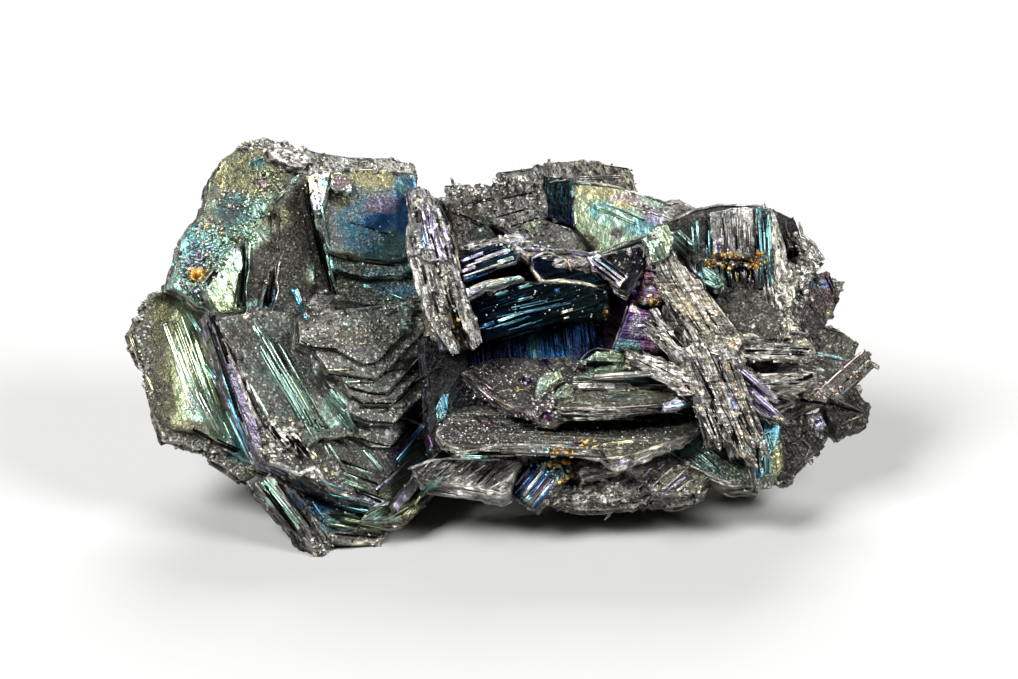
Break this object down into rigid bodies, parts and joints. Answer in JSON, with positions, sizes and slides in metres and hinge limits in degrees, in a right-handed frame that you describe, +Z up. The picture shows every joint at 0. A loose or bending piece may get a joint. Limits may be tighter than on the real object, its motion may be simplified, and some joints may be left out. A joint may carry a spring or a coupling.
{
  "type": "mineral specimen",
  "caption": "Cluster of intergrown tabular metallic sulphide crystals with stepped faces and broken edges, resting on a flat broken underside.",
  "frame": {"origin": "middle of the flat broken underside that the specimen rests on", "axes": "+X along the longest extent, towards the splintered end, -Y towards the show side, +Z up"},
  "size_m": [0.0607, 0.027, 0.027],
  "materials": {
    "tarnished_sulphide": "metallic dark grey crystal faces under a fine dusting, with an iridescent tarnish of mint, teal, blue, lilac and pale gold",
    "broken_edge": "rough silver-grey edges of broken plates",
    "gold_grain": "small brassy orange to yellow sulphide grains"
  },
  "bodies": {
    "root": {"polybasite_cluster": "tarnished_sulphide"}
  },
  "joints": []
}
